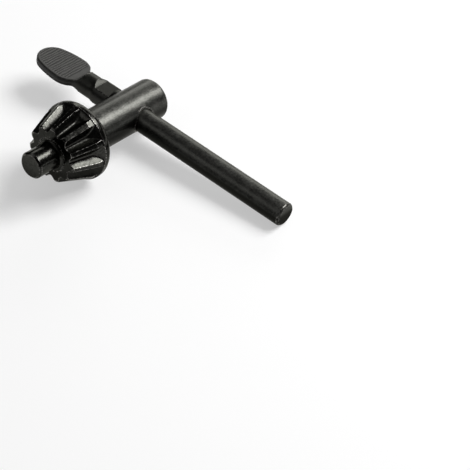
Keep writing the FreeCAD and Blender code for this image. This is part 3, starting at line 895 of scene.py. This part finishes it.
def rib_pattern(sizes, border, x, y):
    """Depth of the ribbed faces below the paddle's plain face.

    Across a groove the depth is a smooth step, deepest in the middle. The groove's line
    strays with the sum of a few slow sines, its depth changes with the product of two, and
    it fades out at the border and before the ramp."""
    stray = sum(part * np.sin(x * across + y * along + start)
                for part, across, along, start in RIB_WAVES) * sizes.rib_waver / 2
    place = (sizes.rib_first - y - stray) / sizes.rib_pitch
    nearest = np.clip(np.round(place), 0, sizes.rib_count - 1)
    off = np.abs(place - nearest) * sizes.rib_pitch / (sizes.rib_groove / 2)
    groove = 1 - smooth_step(off)
    waves = math.prod(np.sin(x * across + nearest * start) for across, start in DEPTH_WAVES)
    change = 1 - DEPTH_CHANGE + DEPTH_CHANGE * waves
    at_border = smooth_step(2 * border / sizes.rib_inset)
    before_ramp = smooth_step((sizes.ramp_foot - 0.5 * MM - y) / (0.6 * MM))
    return sizes.rib_depth * groove * change * at_border * before_ramp


def bar_side(sizes, side, y):
    """Quarter sections of one side, from the tip's to the plain end's.

    From near the ramp's end to just past its foot the section turns smoothly from the rod's
    into the plate's, point by point. The ribs are cut where it is all plate."""
    paddle = Paddle(sizes, side)
    rod = rod_quarter(sizes, side, y)
    plate = paddle.quarter(y)
    turn_start = sizes.ramp_foot + 0.9 * sizes.ramp_radius
    turn_end = sizes.ramp_foot - 0.3 * sizes.ramp_radius
    to_plate = smooth_step((turn_start - y) / (turn_start - turn_end))
    section = rod + (plate - rod) * to_plate[..., None]
    x, height = section[..., 0], section[..., 1]
    on_face = height > sizes.thickness / 2 - sizes.edge_radius
    border = paddle.half_width(y, sizes.rib_inset) - np.abs(x - sizes.offset)
    section[..., 1] -= rib_pattern(sizes, border, x, y) * on_face * (to_plate >= 1)
    return section


def bar_grid(skin, sizes):
    """Round bar, staking flats, ramp and paddle as one row of sections from tip to end."""
    y = bar_stations(sizes)[:, None]
    outline = full_section(bar_side(sizes, 1, y), bar_side(sizes, -1, y))
    sections = np.insert(outline, 1, y, axis=2)

    end = rounded_path(
        [(y[-1, 0], sizes.bar_radius),
         (sizes.bar_end - sizes.end_chamfer, sizes.bar_radius),
         (sizes.bar_end, sizes.bar_radius - sizes.end_chamfer),
         (sizes.bar_end, 0)],
        [sizes.end_round, sizes.end_round], 2 * ARC_STEPS)
    end = spaced_path(end, END_SPACING)[1:]
    around = np.linspace(math.pi / 2, math.pi / 2 - FULL_TURN, sections.shape[1],
                         endpoint=False)
    closing = turned(end[:, :1], end[:, 1:], around)[..., [1, 0, 2]]
    skin.add_grid(np.concatenate([sections, closing]))


class CHUCKKEY_OT_build_bar(bpy.types.Operator):
    """Builds the cross bar with its staking flats and ribbed thumb paddle"""

    bl_idname = "chuckkey.build_bar"
    bl_label = "Build Cross Bar"

    def execute(self, context):
        skin = Skin()
        bar_grid(skin, context.scene.cross_bar_sizes)
        bar = skin.piece("thumb_paddle_bar", bar_material())
        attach(bar, "root")
        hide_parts("cross_bar")
        return {"FINISHED"}


class Graph:
    """Adds nodes to one node tree, with a value or another node's socket at each input."""

    def __init__(self, tree):
        self.tree = tree

    def feed(self, socket, value):
        """Links the socket to another one, or sets its value."""
        if isinstance(value, bpy.types.NodeSocket):
            self.tree.links.new(value, socket)
        elif isinstance(value, Color):
            socket.default_value = (*value, 1)
        else:
            socket.default_value = value

    def feed_all(self, sockets, values):
        """Feeds each socket that a value is named for."""
        for name, value in values.items():
            self.feed(sockets[name], value)

    def add(self, kind, inputs, **settings):
        """New shader node of one kind with its settings and inputs."""
        node = self.tree.nodes.new("ShaderNode" + kind)
        for name, value in settings.items():
            setattr(node, name, value)
        self.feed_all(node.inputs, inputs)
        return node

    def math(self, operation, first, *others):
        """Result of an arithmetic step with each of the other values in turn."""
        for other in others:
            first = self.add("Math", {0: first, 1: other}, operation=operation).outputs[0]
        return first

    def product(self, *values):
        """Product of two values or more."""
        return self.math("MULTIPLY", *values)

    def step(self, value, low, high):
        """Nought below low, one above high and smooth between, also with high under low."""
        ramp = self.add("MapRange", {"Value": value, "From Min": low, "From Max": high},
                        interpolation_type="SMOOTHSTEP")
        return ramp.outputs[0]

    def band(self, value, rise, fall):
        """One between two slopes, each given by where it leaves nought and reaches one."""
        return self.product(self.step(value, *rise), self.step(value, *fall))

    def mix(self, factor, first, second, kind="FLOAT"):
        """Blend of two values, or of two colours where the kind is RGBA."""
        blend = self.add("Mix", {"Factor": factor, "A": first, "B": second}, data_type=kind)
        return blend.outputs["Result"]

    def tint(self, factor, first, second):
        """Blend of two colours."""
        return self.mix(factor, first, second, "RGBA")

    def noise(self, place, scale, detail, roughness):
        """Noise around one half, with features about one over the scale apart."""
        return self.add("TexNoise", {"Vector": place, "Scale": scale, "Detail": detail,
                                     "Roughness": roughness}).outputs[0]


def new_effect(name, inputs, outputs):
    """Empty node group with its sockets, as a graph and the nodes at both ends."""
    tree = bpy.data.node_groups.new(name, "ShaderNodeTree")
    for socket, kind in inputs.items():
        tree.interface.new_socket(socket, in_out="INPUT", socket_type="NodeSocket" + kind)
    for socket in outputs:
        tree.interface.new_socket(socket, in_out="OUTPUT", socket_type="NodeSocketFloat")
    given = tree.nodes.new("NodeGroupInput").outputs
    return Graph(tree), given, tree.nodes.new("NodeGroupOutput").inputs


def oxide_mottle():
    """Slow waves and soft patches a few millimetres wide, flecks of about half a millimetre
    and a fine grain, each from nought to one."""
    graph, given, made = new_effect("oxide_mottle", {"Place": "Vector"}, MOTTLE)
    for name, noise in MOTTLE.items():
        value = graph.noise(given["Place"], *noise)
        if name == "Patch":
            value = graph.step(value, *PATCH_RISE)
        graph.feed(made[name], value)
    return graph.tree


def tool_lines():
    """Lines left by a tool, which are noise drawn out along the directions with a small
    stretch, as a height in metres."""
    graph, given, made = new_effect(
        "tool_lines", {"Place": "Vector", "Stretch": "Vector", "Depth": "Float"}, ["Height"])
    drawn = graph.add("VectorMath", {0: given["Place"], 1: given["Stretch"]},
                      operation="MULTIPLY").outputs[0]
    graph.feed(made["Height"], graph.product(graph.noise(drawn, *LINES), given["Depth"]))
    return graph.tree


def rubbed_edges():
    """Mask of the edges that bend outwards most sharply, broken up by noise and scaled by an
    amount."""
    graph, given, made = new_effect(
        "rubbed_edges", {"Place": "Vector", "Sharpness": "Float", "Amount": "Float"}, ["Mask"])
    uneven = graph.step(graph.noise(given["Place"], *WEAR), *WEAR_RISE)
    sharp = graph.step(given["Sharpness"], *RUBBED_RISE)
    graph.feed(made["Mask"], graph.product(sharp, uneven, given["Amount"]))
    return graph.tree


def new_material(name):
    """Material with its graph and the inputs of its shader."""
    material = bpy.data.materials.new(name)
    material.use_nodes = True
    shader = material.node_tree.nodes["Principled BSDF"]
    return material, Graph(material.node_tree), shader.inputs


class SteelFinish:
    """Blackened steel of one piece, with the effects that both pieces share."""

    def __init__(self, name):
        self.settings = bpy.context.scene.chuck_key_finish
        self.material, self.graph, self.shader = new_material(name)
        self.shader["Metallic"].default_value = 1
        self.place = self.key_place()
        self.x, self.y, self.z = self.graph.add("SeparateXYZ", {"Vector": self.place}).outputs
        self.mottle = self.effect(oxide_mottle)

    def key_place(self):
        """Place in the key's own axes, from the object's coordinates in the frame."""
        spot, turn, _ = key_placement().decompose()
        coordinates = self.graph.add("TexCoord", {}).outputs["Object"]
        mapping = self.graph.add("Mapping", {"Vector": coordinates, "Location": spot,
                                             "Rotation": turn.to_euler()},
                                 vector_type="TEXTURE")
        return mapping.outputs["Vector"]

    def effect(self, make, **inputs):
        """Outputs of a shared effect in this material. Its node group has the name of the
        function that makes it, and is made once."""
        tree = bpy.data.node_groups.get(make.__name__) or make()
        return self.graph.add("Group", {"Place": self.place, **inputs}, node_tree=tree).outputs

    def rubbed(self, amount):
        """Mask of the edges where the steel shows."""
        edges = self.graph.add("Attribute", {}, attribute_name=EDGE_LAYER)
        return self.effect(rubbed_edges, Sharpness=edges.outputs["Fac"], Amount=amount)["Mask"]

    def oxide(self, radius):
        """Colour of the oxide on a round of one radius.

        It is mottled by the flecks and the patches, and painted shade darkens it towards the
        lower side, where it stands in for dim reflections."""
        graph, settings = self.graph, self.settings
        flecks = graph.step(self.mottle["Fleck"], *FLECK_RISE)
        paleness = graph.mix(PATCH_PART, flecks, self.mottle["Patch"])
        # Painted shade towards the lower side, where the flecks and patches fade out too.
        under = graph.step(self.z, 0.6 * radius, 0.05 * radius)
        main = graph.tint(under, settings.oxide, settings.underside)
        return graph.tint(graph.mix(under, paleness, 0.0), main, settings.oxide_patch)

    def finish(self, oxide, rubbed, roughness, height):
        """Sets the shader from the oxide's colour, the mask of the rubbed edges, the
        roughness and the height in metres, and gives the material."""
        graph, settings = self.graph, self.settings
        fleck = self.mottle["Fleck"]
        patches = graph.mix(self.mottle["Patch"], roughness,
                            graph.math("ADD", roughness, settings.patch_roughness))
        flecks = graph.product(graph.math("SUBTRACT", fleck, 0.5), settings.fleck_roughness)
        relief = graph.math("ADD", height, graph.product(fleck, settings.dent_depth))
        graph.feed_all(self.shader, {
            "Base Color": graph.tint(rubbed, oxide, settings.bare_steel),
            "Roughness": graph.math("ADD", patches, flecks),
            "Normal": graph.add("Bump", {"Height": relief, "Distance": 1.0}).outputs["Normal"],
            "Specular IOR Level": settings.gloss,
            "Specular Tint": settings.sheen,
            "Coat Roughness": settings.oil_roughness,
        })
        return self.material


def body_material():
    """Turned and milled steel: a glossy pinion and pilot, and a satin shank under oil.

    Painted shade darkens the pinion's front face and what lies low on it."""
    steel = SteelFinish("blackened_body")
    graph, settings = steel.graph, steel.settings
    sizes = bpy.context.scene.key_body_sizes
    front = sizes.front_face
    on_shank = graph.step(steel.x, sizes.rim_back, sizes.rim_back - 0.4 * MM)
    on_front = graph.band(steel.x, (front - 0.2 * MM, front - 0.1 * MM),
                          (front + 0.4 * MM, front + 0.1 * MM))
    # Painted shade on the pinion's front face round the pilot's root and on its low side.
    low = graph.step(steel.z, 0.3 * sizes.rim_radius, -0.4 * sizes.rim_radius)
    shade = graph.math("MAXIMUM", graph.product(on_front, settings.front_shade),
                       graph.product(low, settings.low_shade))
    flecks = graph.step(steel.mottle["Fleck"], *PINION_FLECK_RISE)
    pinion = graph.tint(flecks, settings.pinion_fleck, settings.pinion_oxide)
    pinion = graph.tint(shade, pinion, settings.underside)
    oxide = graph.tint(on_shank, pinion, steel.oxide(sizes.shank_radius))
    roughness = graph.mix(on_shank, settings.pinion_roughness, settings.shank_roughness)
    graph.feed(steel.shader["Coat Weight"], graph.product(on_shank, settings.oil))

    depth = graph.mix(on_shank, settings.pinion_line_depth, settings.line_depth)
    rings = steel.effect(tool_lines, Stretch=TURNED, Depth=depth)["Height"]
    pits = graph.product(steel.mottle["Grain"], settings.line_depth)
    on_teeth = graph.product(graph.math("SUBTRACT", 1.0, on_shank),
                             graph.step(steel.x, front - 0.1 * MM, front - 1.5 * MM))
    swell = graph.product(steel.mottle["Swell"], on_teeth, settings.swell_depth)
    height = graph.math("ADD", rings, pits, swell)
    return steel.finish(oxide, steel.rubbed(settings.rub), roughness, height)


def bar_material():
    """Drawn steel with lines along it, a forged matt paddle and a sawn end.

    Painted shade darkens the bar between the body and the paddle, less so on the slope up from the
    flats, and darkens the paddle's side wall and deeper rib grooves, all but a line halfway up the
    wall. Edges are rubbed only outside the body, and little on the paddle."""
    steel = SteelFinish("blackened_bar")
    graph, settings = steel.graph, steel.settings
    sizes = bpy.context.scene.cross_bar_sizes
    y = steel.y
    from_middle = graph.math("ABSOLUTE", steel.z, 0.0)
    face = sizes.thickness / 2
    body_side = sizes.stake_end
    stake_start = sizes.flat_start - sizes.flat_ramp
    on_paddle = graph.step(y, sizes.ramp_foot + sizes.ramp_radius, sizes.ramp_foot)
    on_stake = graph.band(y, (stake_start - 2.2 * MM, stake_start - 0.2 * MM),
                          (body_side + 2.1 * MM, body_side + 1.1 * MM))
    on_end = graph.step(y, sizes.bar_end - 0.2 * MM, sizes.bar_end - 0.1 * MM)
    # Painted shade on the paddle's side wall and deeper rib grooves, all but a line halfway up the
    # wall.
    wall_shade_mask = graph.product(on_paddle,
                            graph.step(from_middle, face - 0.02 * MM, face - 0.11 * MM))
    on_line = graph.product(wall_shade_mask, graph.step(from_middle, 0.4 * MM, 0.1 * MM))
    on_slope = graph.product(
        graph.step(y, sizes.flat_start, sizes.flat_start - sizes.flat_ramp / 2),
        graph.step(from_middle, sizes.flat_height - 0.5 * MM, sizes.flat_height + 0.2 * MM))
    beyond_body = graph.step(y, body_side + 2.1 * MM, body_side + 1.5 * MM)
    outside = graph.math("MAXIMUM", graph.step(y, body_side - 0.3 * MM, body_side - 0.8 * MM),
                         graph.step(y, 0.0, sizes.bar_radius))

    # Painted shade between the body and the paddle, less on the slope up from the flats.
    stake_and_neck_shade = graph.math("SUBTRACT", beyond_body, graph.product(on_slope, settings.slope_shine))
    oxide = graph.tint(stake_and_neck_shade, steel.oxide(sizes.bar_radius), settings.worked)
    forged = graph.tint(wall_shade_mask, settings.matt_oxide, settings.dark_wall)
    forged = graph.tint(on_line, forged, settings.matt_oxide)
    oxide = graph.tint(on_paddle, oxide, forged)
    roughness = graph.mix(on_stake, settings.bar_roughness, settings.stake_roughness)
    roughness = graph.mix(on_paddle, roughness, settings.paddle_roughness)
    roughness = graph.mix(on_end, roughness, settings.end_roughness)
    amount = graph.mix(on_paddle, settings.rub, settings.rub * settings.paddle_rub)
    rubbed = steel.rubbed(graph.product(outside, amount))
    metal = graph.math("SUBTRACT", 1.0, on_paddle)
    graph.feed(steel.shader["Metallic"], graph.math("MAXIMUM", metal, rubbed))

    depth = graph.mix(on_stake, settings.line_depth, settings.stake_line_depth)
    drawn = steel.effect(tool_lines, Stretch=DRAWN, Depth=depth)["Height"]
    sawn = steel.effect(tool_lines, Stretch=SAWN, Depth=settings.saw_depth)["Height"]
    grain_depth = graph.mix(on_paddle, settings.line_depth, settings.grain_depth)
    grain = graph.product(steel.mottle["Grain"], grain_depth)
    height = graph.math("ADD", graph.mix(on_end, drawn, sawn), grain)
    return steel.finish(oxide, rubbed, roughness, height)


def table_material(settings):
    """Matt pale table whose glow is seen by the camera and in reflections only."""
    material, graph, shader = new_material("pale_table")
    rays = graph.add("LightPath", {}).outputs
    seen = graph.math("MAXIMUM", rays["Is Camera Ray"], rays["Is Glossy Ray"],
                      rays["Is Transmission Ray"])
    graph.feed_all(shader, {
        "Base Color": settings.table_colour,
        "Roughness": 1,
        "Specular IOR Level": 0,
        "Emission Color": (1, 1, 1, 1),
        "Emission Strength": graph.product(seen, settings.table_glow),
    })
    return material


def add_table(settings):
    """Flat square table under the key."""
    half = settings.table_size / 2
    corners = [(-half, -half, 0), (half, -half, 0), (half, half, 0), (-half, half, 0)]
    mesh = bpy.data.meshes.new("table")
    mesh.from_pydata(corners, [], [(0, 1, 2, 3)])
    mesh.materials.append(table_material(settings))
    new_object("table", mesh)


def facing(aim, bearing, height, distance):
    """Place of a lamp or camera that faces a point from a bearing, from x to y, and an angle
    above the table: the point plus the distance times (cos h cos b, cos h sin b, sin h)."""
    level = math.cos(height)
    back = Vector((level * math.cos(bearing), level * math.sin(bearing), math.sin(height)))
    turn = back.to_track_quat("Z", "Y").to_matrix().to_4x4()
    return Matrix.Translation(aim + back * distance) @ turn


def add_lamp(name, bearing, height, distance, size, watts):
    """Soft rectangular lamp that faces the key."""
    lamp = bpy.data.lights.new(name, "AREA")
    lamp.shape = "RECTANGLE"
    lamp.size, lamp.size_y = size
    lamp.energy = watts
    new_object(name, lamp).matrix_world = facing(Vector(), bearing, height, distance)


def add_camera(settings):
    """Camera that faces its aim, with a small roll and shift."""
    lens = bpy.data.cameras.new("camera")
    lens.lens = settings.camera_lens
    lens.shift_x, lens.shift_y = settings.camera_shift
    lens.clip_start = 0.01
    camera = new_object("camera", lens)
    place = facing(Vector(settings.camera_aim), settings.camera_bearing,
                   settings.camera_height, settings.camera_distance)
    camera.matrix_world = place @ Matrix.Rotation(settings.camera_roll, 4, "Z")
    bpy.context.scene.camera = camera


def set_room(settings):
    """Dim grey room around the table, the same for every ray."""
    world = bpy.data.worlds.new("room")
    world.use_nodes = True
    backdrop = world.node_tree.nodes["Background"].inputs
    backdrop["Color"].default_value = (1, 1, 1, 1)
    backdrop["Strength"].default_value = settings.sky_level
    bpy.context.scene.world = world


class CHUCKKEY_OT_set_stage(bpy.types.Operator):
    """Sets up the table, the room, the lamps and the camera"""

    bl_idname = "chuckkey.set_stage"
    bl_label = "Set Stage"

    def execute(self, context):
        settings = context.scene.chuck_key_stage
        add_table(settings)
        for name, bearing, height, distance, size, watts in LAMPS:
            add_lamp(name, math.radians(bearing), math.radians(height), distance, size,
                     getattr(settings, watts))
        set_room(settings)
        add_camera(settings)
        context.scene.view_settings.view_transform = "Standard"
        return {"FINISHED"}


class CHUCKKEY_PT_sidebar(bpy.types.Panel):
    """Lists what can be built, and the key's sizes, finish and stage"""

    bl_idname = "CHUCKKEY_PT_sidebar"
    bl_label = "Drill Chuck Key"
    bl_space_type = "VIEW_3D"
    bl_region_type = "UI"
    bl_category = "Chuck Key"

    def draw(self, context):
        layout = self.layout
        for operator in OPERATORS:
            layout.operator(operator.bl_idname)
        for name, group in GROUPS.items():
            column = layout.column(align=True)
            column.label(text=name.replace("_", " ").capitalize())
            for setting in group.__annotations__:
                column.prop(getattr(context.scene, name), setting)


OPERATORS = (CHUCKKEY_OT_build_body, CHUCKKEY_OT_build_bar, CHUCKKEY_OT_set_stage)
GROUPS = {
    "key_body_sizes": KeyBodySizes,
    "cross_bar_sizes": CrossBarSizes,
    "chuck_key_finish": FinishSettings,
    "chuck_key_stage": StageSettings,
}
CLASSES = (*GROUPS.values(), *OPERATORS, CHUCKKEY_PT_sidebar)


def register():
    """Registers the classes and hangs the settings on the scene."""
    for made in CLASSES:
        bpy.utils.register_class(made)
    for name, group in GROUPS.items():
        setattr(bpy.types.Scene, name, PointerProperty(type=group))


def unregister():
    """Takes the settings and the classes away again."""
    for name in GROUPS:
        delattr(bpy.types.Scene, name)
    for made in reversed(CLASSES):
        bpy.utils.unregister_class(made)


def main():
    register()
    bpy.ops.chuckkey.build_body()
    bpy.ops.chuckkey.build_bar()
    bpy.ops.chuckkey.set_stage()
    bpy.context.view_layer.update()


if __name__ == "__main__":
    main()
